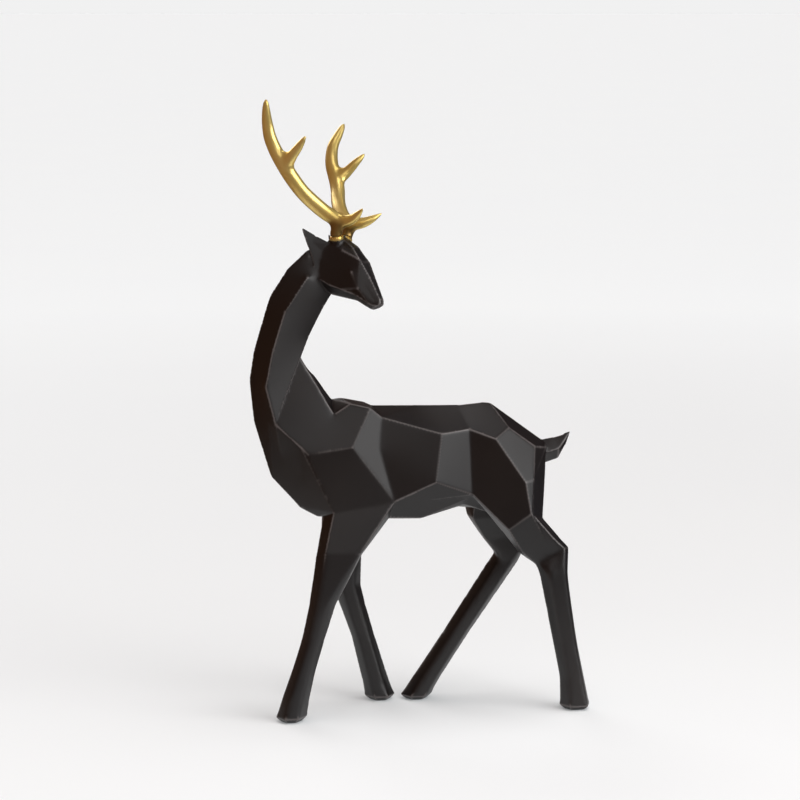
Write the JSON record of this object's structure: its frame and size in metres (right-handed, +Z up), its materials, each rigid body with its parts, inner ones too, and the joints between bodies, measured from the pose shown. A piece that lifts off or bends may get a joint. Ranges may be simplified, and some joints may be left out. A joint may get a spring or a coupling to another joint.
{
  "type": "deer figurine",
  "caption": "Standing faceted deer figurine with its head turned back, a short upturned tail and smooth branching antlers.",
  "frame": {"origin": "on the ground, under the middle of the figure's bounding box", "axes": "+Z up, -X the way the body faces, -Y the side that the head turns to"},
  "size_m": [0.2, 0.1008, 0.3614],
  "materials": {
    "black_resin": "satin black",
    "gold_finish": "metallic gold coat"
  },
  "bodies": {
    "root": {"deer_body": "black_resin", "antler_right": "gold_finish", "antler_left": "gold_finish"}
  },
  "joints": []
}
